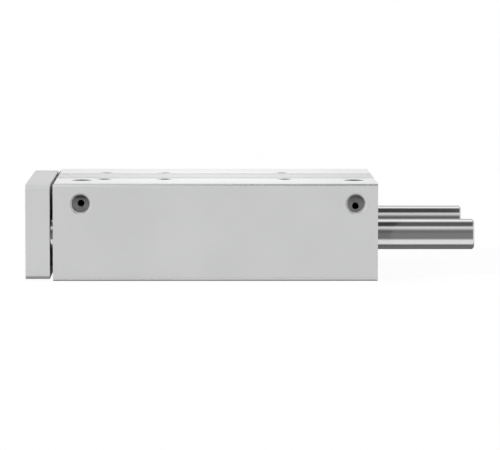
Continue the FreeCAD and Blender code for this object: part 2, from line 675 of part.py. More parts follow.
def make_guides():
    balls = []
    for side_name, y in sides.items():
        for end in ("front", "rear"):
            ball_bush(f"{side_name}_{end}", f"{end}_bush_start", y)
            balls += bush_balls(f"{end}_bush_start", y)
        tube(f"{side_name}_bush_spacer", "spacer_length", "bush_r - seat_clearance - spacer_wall",
             "bush_r - seat_clearance", "spacer_start", y)
        lip_seal(f"{side_name}_guide_wiper", "guide_r + running_clearance", "bush_r - seat_clearance",
                 "wiper_length", "wiper_start", y)
        retaining_ring(f"{side_name}_guide_ring", "guide_ring", "bush_r", "guide_groove + ring_play", y)
    group = doc.addObject("Part::Compound", "bearing_balls")
    group.Label = "bearing_balls"
    group.Links = balls
    parts.append(group)


# Plugs that close the two top ports
def make_port_plug(end):
    body = new_body(f"{end}_port_plug")
    profile = new_sketch(body, "profile", "XZ_Plane")
    outline(profile, [
        ("0", "0 - plug_length"), ("port_r - port_chamfer", "0 - plug_length"),
        ("port_r - running_clearance", "port_chamfer - plug_length"),
        ("port_r - running_clearance", "0 - port_chamfer"),
        ("port_r - running_clearance - port_chamfer", "0"), ("0", "0"),
    ])
    spin(body, profile, "Revolution", "V_Axis")
    socket = new_sketch(body, "socket", "XY_Plane")
    hexagon(socket, "plug_hex")
    extrude(body, socket, "Pocket", "plug_hex_depth")
    set_place(body, f"{end}_port", "0 - top_port_offset", "housing_height - plug_recess")


# Piston with its seals, magnet and nut
def piston_corners(start, end, place):
    """Outline of a piston half from its outer end to the middle, with each length put through place."""
    band = "piston_half - wear_band_length / 2"
    magnet = "piston_half - magnet_length / 2"
    return [
        *start, (place("0"), "piston_r - piston_chamfer"), (place("piston_chamfer"), "piston_r"),
        (place("piston_seal_inset"), "piston_r"), (place("piston_seal_inset"), "piston_seal_r"),
        (place("piston_seal_end"), "piston_seal_r"), (place("piston_seal_end"), "piston_r"),
        (place(band), "piston_r"), (place(band), "wear_band_r"),
        (place(magnet), "wear_band_r"), (place(magnet), "magnet_r"),
        (place("piston_half"), "magnet_r"), *end,
    ]


def make_piston():
    middle = ("piston_half", "spigot_hole_r")
    turned("piston_front", piston_corners([("0", "spigot_hole_r")], [middle], lambda text: text),
           "piston_start")
    recess = [("nut_start", "spigot_hole_r"), ("nut_start", "nut_recess_r"),
              ("piston_length", "nut_recess_r")]
    turned("piston_rear", piston_corners(recess, [middle], lambda text: f"piston_length - ({text})"),
           "piston_start")
    seal_room = "piston_seal_length - 2 * seat_clearance"
    seal_outer = "bore_r - running_clearance"
    seal_inner = "piston_seal_r + seat_clearance"
    front_seal = lip_seal("front_piston_seal", seal_inner, seal_outer, seal_room,
                          "piston_start + piston_seal_end - seat_clearance")
    front_seal.Placement.Rotation = Rotation(Vector(0, 0, 1), 180)
    lip_seal("rear_piston_seal", seal_inner, seal_outer, seal_room,
             "piston_start + piston_length - piston_seal_end + seat_clearance")
    tube("wear_band", "wear_band_length - 2 * seat_clearance", "wear_band_r + seat_clearance",
         "bore_r - running_clearance", "piston_start + piston_half - wear_band_length / 2 + seat_clearance")
    tube("magnet_ring", "magnet_length", "magnet_r + seat_clearance", "wear_band_r - seat_clearance",
         "piston_start + piston_half - magnet_length / 2")
    nut = new_body("piston_nut")
    blank = new_sketch(nut, "blank", "YZ_Plane")
    hexagon(blank, "nut_width")
    circle(blank, "0", "0", "spigot_hole_r")
    extrude(nut, blank, "Pad", "nut_height")
    set_place(nut, "piston_start + nut_start", "0", "axis_height")


# Rods and the yoke plate that joins them
def tapped_end(radius, reach):
    """Corners of a blind threaded hole in a rod's front end, from its drill point outwards."""
    return [
        (f"{reach} + tap_room + {radius} * drill_slope", "0"),
        (f"{reach} + tap_room", radius), ("0", radius),
    ]


def make_rods():
    turned("piston_rod", [
        *tapped_end("rod_screw_d / 2", "rod_screw_reach"),
        ("0", "rod_r - rod_chamfer"), ("rod_chamfer", "rod_r"),
        ("rod_length", "rod_r"), ("rod_length", "spigot_r"),
        ("rod_length + piston_length - rod_chamfer", "spigot_r"),
        ("rod_length + piston_length", "spigot_r - rod_chamfer"), ("rod_length + piston_length", "0"),
    ], "rod_start")
    for side_name, y in sides.items():
        turned(f"{side_name}_guide_rod", [
            *tapped_end("guide_screw_d / 2", "guide_screw_reach"),
            ("0", "guide_r - rod_chamfer"), ("rod_chamfer", "guide_r"),
            ("guide_rod_length - rod_chamfer", "guide_r"),
            ("guide_rod_length", "guide_r - rod_chamfer"), ("guide_rod_length", "centre_r"),
            ("guide_rod_length - centre_r * centre_slope", "0"),
        ], "rod_start", y)


def yoke_cut(body, name, depth, flip, holes):
    """Round cuts in the yoke plate: from its front face when flipped, otherwise from its back face."""
    sketch = new_sketch(body, name, "YZ_Plane", "0", "0", "0" if flip else "yoke_thickness")
    for across, radius in holes:
        circle(sketch, across, "yoke_axis", radius)
    extrude(body, sketch, "Pocket", depth, flip)


def make_yoke():
    body = new_body("yoke_plate")
    half_width = "yoke_width / 2"
    half_height = "yoke_height / 2"
    blank = new_sketch(body, "blank", "YZ_Plane")
    corners = []
    for right, top in ((1, -1), (1, 1), (-1, 1), (-1, -1)):
        wide = f"{right} * {half_width}"
        high = f"{top} * {half_height}"
        cut_wide = (f"{right} * ({half_width} - yoke_chamfer)", high)
        cut_high = (wide, f"{top} * ({half_height} - yoke_chamfer)")
        corners += [cut_wide, cut_high] if right == -top else [cut_high, cut_wide]
    outline(blank, corners)
    plate = extrude(body, blank, "Pad", "yoke_thickness")
    doc.recompute()
    rims = [
        f"Edge{number}" for number, edge in enumerate(plate.Shape.Edges, start=1)
        if edge.BoundBox.XLength < hair
    ]
    broken = body.newObject("PartDesign::Chamfer", "yoke_rims")
    broken.Base = (plate, rims)
    set_size(broken, "Size", "edge_break")
    guides = list(sides.values())
    seats = [(y, "guide_r + seat_clearance") for y in guides] + [("0", "rod_r + seat_clearance")]
    yoke_cut(body, "rod_seats", "rod_seat_depth", False, seats)
    yoke_cut(body, "guide_counterbores", "guide_counterbore", True,
             [(y, "guide_head_d / 2 + head_room") for y in guides])
    yoke_cut(body, "rod_counterbore", "rod_counterbore", True, [("0", "rod_head_d / 2 + head_room")])
    shanks = [(y, "guide_screw_d / 2 + shank_room") for y in guides]
    shanks.append(("0", "rod_screw_d / 2 + shank_room"))
    yoke_cut(body, "shank_holes", "yoke_thickness", True, shanks)
    load = new_sketch(body, "load_threads", "YZ_Plane")
    for across in ("load_pitch_across / 2", "0 - load_pitch_across / 2"):
        for up in ("yoke_axis + load_pitch_up / 2", "yoke_axis - load_pitch_up / 2"):
            circle(load, across, up, "load_hole_d / 2")
    drill(body, load, "load_hole_d", "load_sink_d", "yoke_thickness", True)
    set_place(body, "yoke_front", "0", "yoke_middle")


def cap_screw(label, name, shank, y):
    """A socket head cap screw that lies along X with its head at the front."""
    head_r = f"{name}_head_d / 2"
    head = f"{name}_head_height"
    end = f"{head} + {shank}"
    body = turned(label, [
        ("0", "0"), ("0", f"{head_r} - mouth_chamfer"), ("mouth_chamfer", head_r), (head, head_r),
        (head, f"{name}_screw_d / 2 - seat_clearance"), (end, f"{name}_screw_d / 2 - seat_clearance"),
        (end, "0"),
    ], "head_start", y)
    socket = new_sketch(body, "socket", "YZ_Plane")
    hexagon(socket, f"{name}_screw_hex")
    extrude(body, socket, "Pocket", f"{head} * socket_share", flip=True)


def make_screws():
    cap_screw("piston_rod_screw", "rod", "rod_shank", "0")
    for side_name, y in sides.items():
        cap_screw(f"{side_name}_guide_rod_screw", "guide", "guide_shank", y)


make_housing()
make_front_end()
make_rear_end()
make_guides()
for end in ("front", "rear"):
    make_port_plug(end)
make_piston()
make_rods()
make_yoke()
make_screws()
doc.recompute()

for item in doc.Objects:
    if "Invalid" in item.State or "Error" in item.State:
        raise RuntimeError(f"{item.Label} failed: {item.State}")
for part in parts:
    if part.Shape.isNull() or not part.Shape.isValid():
        raise RuntimeError(f"{part.Label} has no valid shape")

os.makedirs("parts", exist_ok=True)
for part in parts:
    part.Shape.exportStep(f"parts/{part.Label}.step")
    print(part.Label, len(part.Shape.Solids), round(part.Shape.Volume, 1))
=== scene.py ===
import json
import math
import bmesh
import bpy
import numpy as np
from mathutils import Euler, Matrix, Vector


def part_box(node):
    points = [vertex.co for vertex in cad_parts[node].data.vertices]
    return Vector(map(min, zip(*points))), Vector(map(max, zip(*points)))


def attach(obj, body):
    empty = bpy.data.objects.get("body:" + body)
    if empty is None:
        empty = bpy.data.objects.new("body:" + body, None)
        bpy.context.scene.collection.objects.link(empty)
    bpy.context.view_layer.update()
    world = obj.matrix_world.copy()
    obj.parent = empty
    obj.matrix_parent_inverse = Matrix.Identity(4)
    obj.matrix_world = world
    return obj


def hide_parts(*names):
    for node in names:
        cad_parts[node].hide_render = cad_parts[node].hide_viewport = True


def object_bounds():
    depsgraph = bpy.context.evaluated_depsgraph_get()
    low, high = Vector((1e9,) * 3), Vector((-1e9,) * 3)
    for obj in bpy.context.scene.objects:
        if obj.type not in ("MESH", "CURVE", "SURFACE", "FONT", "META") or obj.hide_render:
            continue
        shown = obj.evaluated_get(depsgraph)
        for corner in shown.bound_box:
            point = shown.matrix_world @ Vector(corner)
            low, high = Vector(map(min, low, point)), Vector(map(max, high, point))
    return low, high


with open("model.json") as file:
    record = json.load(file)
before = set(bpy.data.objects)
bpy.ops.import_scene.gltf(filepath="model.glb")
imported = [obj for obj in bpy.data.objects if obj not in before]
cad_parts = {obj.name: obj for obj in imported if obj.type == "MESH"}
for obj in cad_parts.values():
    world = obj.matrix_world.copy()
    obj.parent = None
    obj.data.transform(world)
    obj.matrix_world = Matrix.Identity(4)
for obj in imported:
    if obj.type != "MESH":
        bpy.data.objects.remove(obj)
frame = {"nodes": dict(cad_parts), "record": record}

# Looks of the guided pneumatic cylinder: satin anodised housing and yoke plate, hard chromed rods,
# cut threads in the ports and mounting holes, socket screws and port plugs. Lengths are in metres,
# but the tables of threads, port floors, screws and plugs and the camera's place are in millimetres.
record = frame["record"]
nodes = frame["nodes"]
mounts = {mount["name"]: mount for mount in record["mounts"]}
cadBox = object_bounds()
mm = 0.001


def boxOf(node):  # lowest and highest corner of a node
    return [np.array(corner, float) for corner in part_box(node)]


housingLow, housingHigh = boxOf("housing")
housingMiddle = float((housingLow[2] + housingHigh[2]) / 2)
housingHalf = [float(value) for value in (housingHigh - housingLow) / 2]
portHeight = float(mounts["front_supply_port"]["pos_m"][2])
rodLow, rodHigh = boxOf("near_guide_rod")
axisHeight = float((rodLow[2] + rodHigh[2]) / 2)
guideOffset = float(-(rodLow[1] + rodHigh[1]) / 2)
yokeLow, yokeHigh = boxOf("yoke_plate")
yokeMiddle = float((yokeLow[0] + yokeHigh[0]) / 2)
yokeFoot = float(yokeLow[2])
print("frame: %d nodes, rod axes %.1f mm up and %.1f mm aside"
      % (len(nodes), axisHeight / mm, guideOffset / mm))


# Node helpers
def addNode(tree, kind, inputs=None, **settings):
    made = tree.nodes.new(kind)
    for name, value in settings.items():
        setattr(made, name, value)
    for key, value in (inputs or {}).items():
        if isinstance(value, bpy.types.NodeSocket):
            tree.links.new(value, made.inputs[key])
        else:
            made.inputs[key].default_value = value
    return made


def calc(tree, operation, *values):  # one Math node, its operands numbers or sockets
    return addNode(tree, "ShaderNodeMath", dict(enumerate(values)), operation=operation).outputs[0]


def times(tree, product, *factors):
    for factor in factors:
        product = calc(tree, "MULTIPLY", product, factor)
    return product


def hypot(tree, first, second):  # root of the sum of both squares
    return calc(tree, "SQRT", calc(tree, "ADD", times(tree, first, first), times(tree, second, second)))


def span(tree, value, low, high, newLow=0.0, newHigh=1.0):
    # low..high mapped to newLow..newHigh with eased ends, and held there
    inputs = {"Value": value, "From Min": low, "From Max": high, "To Min": newLow, "To Max": newHigh}
    return addNode(tree, "ShaderNodeMapRange", inputs, interpolation_type="SMOOTHSTEP").outputs[0]


def between(tree, value, rise, fall):  # climbs from 0 to 1 over rise, and sinks back to 0 over fall
    return times(tree, span(tree, value, *rise), span(tree, value, *fall, 1.0, 0.0))


def fade(tree, mask, amount):  # 1 where the mask is 0, the amount where it is 1
    return span(tree, mask, 0.0, 1.0, 1.0, amount)


def mixed(tree, mask, first, second):  # first where the mask is 0, second where it is 1
    return addNode(tree, "ShaderNodeMix", {"Factor": mask, 2: first, 3: second}).outputs[0]


def noise(tree, vector, scale, detail):
    inputs = {"Vector": vector, "Scale": scale, "Detail": detail}
    return addNode(tree, "ShaderNodeTexNoise", inputs).outputs[0]


def lineNoise(tree, value, scale):  # noise that changes with one value only, so it runs in lines
    inputs = {"W": value, "Scale": scale, "Detail": 2.0}
    return addNode(tree, "ShaderNodeTexNoise", inputs, noise_dimensions="1D").outputs[0]


def objectPlace(tree):
    return addNode(tree, "ShaderNodeTexCoord").outputs["Object"]


def placeParts(tree):
    return addNode(tree, "ShaderNodeSeparateXYZ", {0: objectPlace(tree)}).outputs


def facingParts(tree):  # the surface's direction along X, Y and Z
    normal = addNode(tree, "ShaderNodeTexCoord").outputs["Normal"]
    return addNode(tree, "ShaderNodeSeparateXYZ", {0: normal}).outputs


def newGroup(name, inputs, outputs):  # inputs: name, default; the outputs are plain values
    tree = bpy.data.node_groups.new(name, "ShaderNodeTree")
    for label, default in inputs:
        socket = tree.interface.new_socket(name=label, in_out="INPUT", socket_type="NodeSocketFloat")
        socket.default_value = default
    for label in outputs:
        tree.interface.new_socket(name=label, in_out="OUTPUT", socket_type="NodeSocketFloat")
    return tree, addNode(tree, "NodeGroupInput").outputs, addNode(tree, "NodeGroupOutput").inputs


# Shared surface effects
noiseRange = {"fine": (0.25, 0.75), "cloud": (0.3, 0.7), "skin": (0.35, 0.65)}  # where most of a noise lies
endFacing = (0.9, 0.97)  # direction along X at which a face counts as an end face
# corners bared by wear and darkened by painted shade, and lips of the long edges darkened by painted shade,
# as leans of a corner: see makeOutline
edgeBands = {"cornerY": (0.59, 0.72), "cornerZ": (0.24, 0.42),
             "lipRise": (-0.02, 0.12), "lipFall": (0.45, 0.62)}


def makeDrawnLines():
    # noise stretched along X: the fine lines that the die leaves on an extrusion
    tree, given, out = newGroup("drawnLines", [("Fineness", 1800.0), ("Stretch", 0.006)], ["Lines"])
    squeeze = addNode(tree, "ShaderNodeCombineXYZ", {"X": given["Stretch"], "Y": 1.0, "Z": 1.0}).outputs[0]
    drawn = addNode(tree, "ShaderNodeVectorMath", {0: objectPlace(tree), 1: squeeze}, operation="MULTIPLY")
    tree.links.new(noise(tree, drawn.outputs[0], given["Fineness"], detail=3.0), out["Lines"])
    return tree


def makeSatinGrain():
    # fine even noise for an etched skin, and a broad faint cloud for the drift of its colour
    inputs = [("Fineness", 3500.0), ("Cloud size", 22.0)]
    tree, given, out = newGroup("satinGrain", inputs, ["Grain", "Cloud"])
    place = objectPlace(tree)
    tree.links.new(noise(tree, place, given["Fineness"], detail=4.0), out["Grain"])
    tree.links.new(noise(tree, place, given["Cloud size"], detail=3.0), out["Cloud"])
    return tree


def makeLatheMarks():
    # lines of equal distance from the nearest of the three rod axes, and lines of equal X on turned walls
    tree, given, out = newGroup("latheMarks", [("Fineness", 4200.0), ("Feed", 0.83)], ["Marks"])
    parts = placeParts(tree)
    aside = calc(tree, "WRAP", parts["Y"], guideOffset / 2, -guideOffset / 2)
    above = calc(tree, "SUBTRACT", parts["Z"], axisHeight)
    course = calc(tree, "ADD", hypot(tree, aside, above), times(tree, parts["X"], given["Feed"]))
    tree.links.new(lineNoise(tree, course, given["Fineness"]), out["Marks"])
    return tree


def makeMillArcs():
    # arcs about points in a row below the part: the sweeps of a face mill over an end face
    inputs = [("Fineness", 1500.0), ("Sweep", 0.045), ("Centre below", 0.03)]
    tree, given, out = newGroup("millArcs", inputs, ["Arcs", "Face"])
    parts = placeParts(tree)
    aside = calc(tree, "SUBTRACT", parts["Y"], calc(tree, "SNAP", parts["Y"], given["Sweep"]))
    above = calc(tree, "ADD", parts["Z"], given["Centre below"])
    tree.links.new(lineNoise(tree, hypot(tree, aside, above), given["Fineness"]), out["Arcs"])
    facing = calc(tree, "ABSOLUTE", facingParts(tree)["X"])
    tree.links.new(span(tree, facing, *endFacing), out["Face"])
    return tree


def makeOutline():
    # depth below a rounded rectangle: radius less the distance beyond the corner's centre, or the depth
    # below the nearer side; the lean of a corner is its way past that centre in shares of the radius
    inputs = [("Half width", housingHalf[1]), ("Half height", housingHalf[2]), ("Radius", 0.0025)]
    tree, given, out = newGroup("outline", inputs, ["Corner", "Lip", "Depth"])
    parts = placeParts(tree)
    radius = given["Radius"]
    height = calc(tree, "ABSOLUTE", calc(tree, "SUBTRACT", parts["Z"], housingMiddle))
    width = calc(tree, "ABSOLUTE", parts["Y"])
    aside = calc(tree, "SUBTRACT", width, calc(tree, "SUBTRACT", given["Half width"], radius))
    above = calc(tree, "SUBTRACT", height, calc(tree, "SUBTRACT", given["Half height"], radius))
    beyond = hypot(tree, calc(tree, "MAXIMUM", aside, 0.0), calc(tree, "MAXIMUM", above, 0.0))
    within = calc(tree, "MINIMUM", calc(tree, "MAXIMUM", aside, above), 0.0)
    depth = calc(tree, "SUBTRACT", calc(tree, "SUBTRACT", radius, beyond), within)
    leanY, leanZ = (calc(tree, "DIVIDE", side, radius) for side in (aside, above))
    corner = times(tree, span(tree, leanY, *edgeBands["cornerY"]), span(tree, leanZ, *edgeBands["cornerZ"]))
    tree.links.new(corner, out["Corner"])
    tree.links.new(between(tree, leanY, edgeBands["lipRise"], edgeBands["lipFall"]), out["Lip"])
    tree.links.new(depth, out["Depth"])
    return tree


groups = {"lines": makeDrawnLines(), "grain": makeSatinGrain(), "lathe": makeLatheMarks(),
          "mill": makeMillArcs(), "outline": makeOutline()}


def effect(tree, name, **values):
    made = addNode(tree, "ShaderNodeGroup", None, node_tree=groups[name])
    for key, value in values.items():
        made.inputs[key.replace("_", " ")].default_value = value
    return made.outputs


# Material helpers
def newMaterial(name, look):
    material = bpy.data.materials.new(name)
    material.use_nodes = True
    tree = material.node_tree
    shader = tree.nodes["Principled BSDF"]
    shader.inputs["Metallic"].default_value = look["metallic"]
    return material, tree, shader


def tint(tree, shader, mask, look, shade=None):  # pale to dark with the mask, then times the shade
    mix = addNode(tree, "ShaderNodeMix", {"Factor": mask}, data_type="RGBA")
    mix.inputs[6].default_value = (*look["pale"], 1.0)
    mix.inputs[7].default_value = (*look["dark"], 1.0)
    colour = mix.outputs[2]
    if shade:
        scaled = addNode(tree, "ShaderNodeVectorMath", {0: colour, "Scale": shade}, operation="SCALE")
        colour = scaled.outputs[0]
    tree.links.new(colour, shader.inputs["Base Color"])


def roughen(tree, shader, mask, look):
    rough = span(tree, mask, *noiseRange["fine"], *look["roughness"])
    tree.links.new(rough, shader.inputs["Roughness"])


def emboss(tree, shader, height, depth):
    bump = addNode(tree, "ShaderNodeBump", {"Height": height, "Distance": depth, "Strength": 1.0})
    tree.links.new(bump.outputs[0], shader.inputs["Normal"])


# Anodised housing: drawn lines on its long faces and mill arcs on its ends, a duller band between the sensor
# slots, upper corners bared by wear, edges darkened by painted shade, and holes that are bare metal below
# their anodised lead-ins, with painted shade and painted light in the band, slots and holes
housingLook = {
    "pale": (0.860, 0.862, 0.867), "dark": (0.800, 0.802, 0.808), "metallic": 0.45, "bareMetal": 0.95,
    "roughness": (0.21, 0.27), "lineShare": 0.7, "lineDepth": 0.0000015, "cloudShare": 0.55,
    # band on the top face out to the slots, darkened by painted shade, then the lips of the slots lightened
    # by painted light and their depth darkened by painted shade
    "band": (0.0260, 0.0266), "bandRoughness": 0.10, "bandShade": 0.84,
    "slotMouth": (0.00005, 0.0002), "slotShade": 1.25, "slotDepth": (0.0010, 0.0015), "slotDark": 0.5,
    # how far from the middle the holes, the side faces and the ports start
    "holesFrom": 0.0255, "sideFrom": 0.0600, "portsFrom": 0.0800, "holeLevel": 0.0122,
    # depths at which the bare metal starts in the mounting holes, the top ports and the side ports
    "mountLead": (0.00003, 0.0001), "topLead": (0.00005, 0.00015), "sideLead": (0.0004, 0.0011),
    "portShare": 0.45,
    # drilled walls: painted shade, lighter facing along Y, darker facing along X, with painted light on the
    # lips on the far side
    "cutFacing": (0.5, 0.95), "cutShade": (0.65, 0.25),
    "farSide": (-0.01, 0.01), "farDepth": (0.0011, 0.0015), "farShare": 0.5, "farCut": 1.25,
    # side ports: painted shade on the ring of the lead-in, painted shade inside growing towards its top with
    # painted light low down, painted shade on the walls of the front and rear port
    "ringStart": (0.00005, 0.00025), "ringEnd": (0.0010, 0.0016), "ringShade": 0.78,
    "cave": (0.0008, 0.0016), "caveHeight": (-0.003, 0.006), "caveShade": (1.16, 0.45),
    "wallStart": (0.0016, 0.0030), "wallEnd": (0.0100, 0.0108), "wallHeight": (-0.0055, -0.0035),
    "wallHalf": (-0.01, 0.01), "wallShade": (0.43, 0.80),
    # corners bared by wear, more to the rear, and darkened by painted shade; front edge of the top face
    # darkened by painted shade; soft painted shade on the lips of its long edges
    "cornerShare": (0.34, 1.0), "cornerShade": 0.86, "lipShade": 0.70,
    "frontEdge": (0.0006, 0.0008), "frontFacing": (0.7, 0.9), "frontReach": (0.040, 0.054),
    "frontShade": 0.05,
    # foot darkened by painted shade, apart from the flat underside, and a line of painted shade above it
    "foot": (0.0003, 0.0007), "footFacing": (-0.99, -0.95), "footShade": 0.3,
    "lineStart": (0.0011, 0.0014), "lineEnd": (0.0019, 0.0023), "lineShade": 0.78,
}


def housingZones(tree):
    # where on the housing a point lies: places, depths and masks from 0 to 1
    look = housingLook
    parts, outline, mill = placeParts(tree), effect(tree, "outline"), effect(tree, "mill")
    along, across = (calc(tree, "ABSOLUTE", parts[axis]) for axis in "XY")
    level = calc(tree, "ABSOLUTE", calc(tree, "SUBTRACT", parts["Z"], housingMiddle))
    upper = calc(tree, "GREATER_THAN", parts["Z"], housingMiddle)
    sides = calc(tree, "SUBTRACT", 1.0, mill["Face"])
    atPort = calc(tree, "GREATER_THAN", along, look["portsFrom"])
    atSide = calc(tree, "GREATER_THAN", across, look["sideFrom"])
    atHole = calc(tree, "GREATER_THAN", across, look["holesFrom"])
    inHole = times(tree, atHole, calc(tree, "GREATER_THAN", level, look["holeLevel"]), sides)
    sidePort = times(tree, atPort, atSide)
    # front edge of the top face: a narrow strip of painted shade, also made fully rough
    fromFront = calc(tree, "SUBTRACT", parts["X"], float(housingLow[0]))
    frontEdge = times(tree, span(tree, fromFront, *look["frontEdge"], 1.0, 0.0),
                      span(tree, facingParts(tree)["Z"], *look["frontFacing"]),
                      span(tree, parts["Y"], *look["frontReach"], 1.0, 0.0))
    return {"parts": parts, "mill": mill, "depth": outline["Depth"], "sides": sides, "frontEdge": frontEdge,
            "corner": times(tree, outline["Corner"], upper), "lip": times(tree, outline["Lip"], upper),
            "atPort": atPort, "atSide": atSide, "inHole": inHole, "sidePort": sidePort,
            "inPort": times(tree, sidePort, inHole),
            "farLip": times(tree, span(tree, parts["Y"], *look["farSide"]),
                            span(tree, outline["Depth"], *look["farDepth"], 1.0, 0.0)),
            "band": times(tree, span(tree, across, *look["band"], 1.0, 0.0), upper, sides)}


def housingBareMetal(tree, zones):
    # masks of the cut walls, from the end of their lead-ins on, and of the corners bared by wear, which also
    # take painted shade
    look = housingLook
    mountLead, topLead, sideLead = (span(tree, zones["depth"], *look[key])
                                    for key in ("mountLead", "topLead", "sideLead"))
    lead = mixed(tree, zones["atPort"], mountLead, mixed(tree, zones["atSide"], topLead, sideLead))
    cut = times(tree, lead, zones["inHole"], fade(tree, zones["sidePort"], look["portShare"]),
                fade(tree, zones["farLip"], look["farShare"]))
    wear = addNode(tree, "ShaderNodeMapRange",
                   {"Value": zones["parts"]["X"], "From Min": float(housingLow[0]),
                    "From Max": float(housingHigh[0]), "To Min": look["cornerShare"][0],
                    "To Max": look["cornerShare"][1]}).outputs[0]
    return cut, times(tree, zones["corner"], wear)


def housingHolePaintedShade(tree, zones, cut):
    # painted shade of the rings, insides and walls of the side ports, and of the drilled walls, with painted
    # light low in the ports and on the far lips
    look, parts, depth = housingLook, zones["parts"], zones["depth"]
    # painted shade on the lead-in ring, the insides and the walls of the side ports, painted light low inside
    # them
    ring = times(tree, between(tree, depth, look["ringStart"], look["ringEnd"]), zones["inPort"])
    height = calc(tree, "SUBTRACT", parts["Z"], portHeight)
    cave = times(tree, span(tree, depth, *look["cave"]), zones["inPort"])
    cavePaintedShade = span(tree, height, *look["caveHeight"], *look["caveShade"])
    wall = times(tree, between(tree, depth, look["wallStart"], look["wallEnd"]), zones["inPort"],
                 span(tree, height, *look["wallHeight"]))
    wallPaintedShade = span(tree, parts["X"], *look["wallHalf"], *look["wallShade"])
    # painted shade on the drilled walls, painted light on their lips on the far side
    drilled = times(tree, cut, calc(tree, "SUBTRACT", 1.0, zones["sidePort"]))
    endOn = calc(tree, "ABSOLUTE", facingParts(tree)["X"])
    drilledPaintedShade = times(tree, span(tree, endOn, *look["cutFacing"], *look["cutShade"]),
                        fade(tree, zones["farLip"], look["farCut"]))
    return times(tree, fade(tree, ring, look["ringShade"]), mixed(tree, cave, 1.0, cavePaintedShade),
                 mixed(tree, wall, 1.0, wallPaintedShade), mixed(tree, drilled, 1.0, drilledPaintedShade))


def housingEdgePaintedShade(tree, zones, wornAndShaded):
    # painted shade of the long lips, the foot and the line above it, the band and slots, the front edge and
    # corners, with painted light on the lips of the slots
    look, height = housingLook, zones["parts"]["Z"]
    # painted shade on the foot of the housing and on a line above it
    foot = times(tree, span(tree, height, *look["foot"], 1.0, 0.0),
                 span(tree, facingParts(tree)["Z"], *look["footFacing"]))
    line = times(tree, between(tree, height, look["lineStart"], look["lineEnd"]), zones["sides"])
    below = calc(tree, "SUBTRACT", float(housingHigh[2]), height)
    # painted shade on the band and deep in the slots, painted light on the lips of the slots
    bandPaintedShading = times(tree, span(tree, below, *look["slotMouth"], look["bandShade"], look["slotShade"]),
                     span(tree, below, *look["slotDepth"], 1.0, look["slotDark"]))
    return times(tree, fade(tree, zones["lip"], look["lipShade"]), fade(tree, foot, look["footShade"]),
                 fade(tree, line, look["lineShade"]), mixed(tree, zones["band"], 1.0, bandPaintedShading),
                 fade(tree, zones["frontEdge"], look["frontShade"]), fade(tree, wornAndShaded, look["cornerShade"]))


def housingFinish():
    look = housingLook
    material, tree, shader = newMaterial("housing_anodised", look)
    zones, grain = housingZones(tree), effect(tree, "grain")
    cut, wornAndShaded = housingBareMetal(tree, zones)
    bare = calc(tree, "MAXIMUM", wornAndShaded, cut)
    tree.links.new(span(tree, bare, 0.0, 1.0, look["metallic"], look["bareMetal"]), shader.inputs["Metallic"])
    # painted shade and painted light of the holes and edges, applied to the base colour
    shade = times(tree, housingHolePaintedShade(tree, zones, cut), housingEdgePaintedShade(tree, zones, wornAndShaded))
    cloud = times(tree, span(tree, grain["Cloud"], *noiseRange["cloud"]), look["cloudShare"])
    tint(tree, shader, calc(tree, "MAXIMUM", cloud, zones["band"]), look, shade)
    marks = mixed(tree, zones["mill"]["Face"], effect(tree, "lines")["Lines"], zones["mill"]["Arcs"])
    fine = calc(tree, "ADD", times(tree, marks, look["lineShare"]),
                times(tree, grain["Grain"], 1 - look["lineShare"]))
    sheen = span(tree, fine, *noiseRange["fine"], *look["roughness"])
    satin = calc(tree, "ADD", sheen, times(tree, zones["band"], look["bandRoughness"]))
    rough = calc(tree, "MAXIMUM", satin, zones["frontEdge"])
    tree.links.new(rough, shader.inputs["Roughness"])
    emboss(tree, shader, fine, look["lineDepth"])
    return material


# Anodised yoke plate: blasted satin skin, mill arcs showing faintly on its faces, its back bare metal as
# milled, and painted shade that darkens its back, its top face a little and the foot of its lower bevels
yokeLook = {
    "pale": (0.720, 0.722, 0.727), "dark": (0.696, 0.698, 0.704), "metallic": 0.35, "edgeMetal": 0.44,
    "backMetal": 0.92, "backShade": 0.85, "slant": (0.2, 0.4), "foot": (0.0010, 0.0016), "footShade": 0.70,
    "topFacing": (0.9, 0.97), "topShade": 0.90, "roughness": (0.46, 0.58), "grainFineness": 2600.0,
    "grainDepth": 0.000005, "millFineness": 1200.0, "millShare": 0.35,
}


def yokeFinish():
    look = yokeLook
    material, tree, shader = newMaterial("yoke_anodised", look)
    grain = effect(tree, "grain", Fineness=look["grainFineness"])
    mill = effect(tree, "mill", Fineness=look["millFineness"])
    parts, facing = placeParts(tree), facingParts(tree)
    back = times(tree, mill["Face"], calc(tree, "GREATER_THAN", parts["X"], yokeMiddle))
    slant = calc(tree, "ABSOLUTE", times(tree, facing["Y"], facing["Z"]))
    fromFoot = calc(tree, "SUBTRACT", parts["Z"], yokeFoot)
    foot = times(tree, span(tree, slant, *look["slant"]), span(tree, fromFoot, *look["foot"], 1.0, 0.0))
    # painted shade on the back face, the foot of the lower bevels and the top face
    shade = times(tree, fade(tree, back, look["backShade"]), fade(tree, foot, look["footShade"]),
                  span(tree, facing["Z"], *look["topFacing"], 1.0, look["topShade"]))
    tint(tree, shader, span(tree, grain["Cloud"], *noiseRange["cloud"]), look, shade)
    edge = span(tree, slant, *look["slant"], look["metallic"], look["edgeMetal"])
    tree.links.new(mixed(tree, back, edge, look["backMetal"]), shader.inputs["Metallic"])
    faint = times(tree, mill["Arcs"], mill["Face"], look["millShare"])
    fine = calc(tree, "ADD", grain["Grain"], faint)
    roughen(tree, shader, fine, look)
    emboss(tree, shader, fine, look["grainDepth"])
    return material


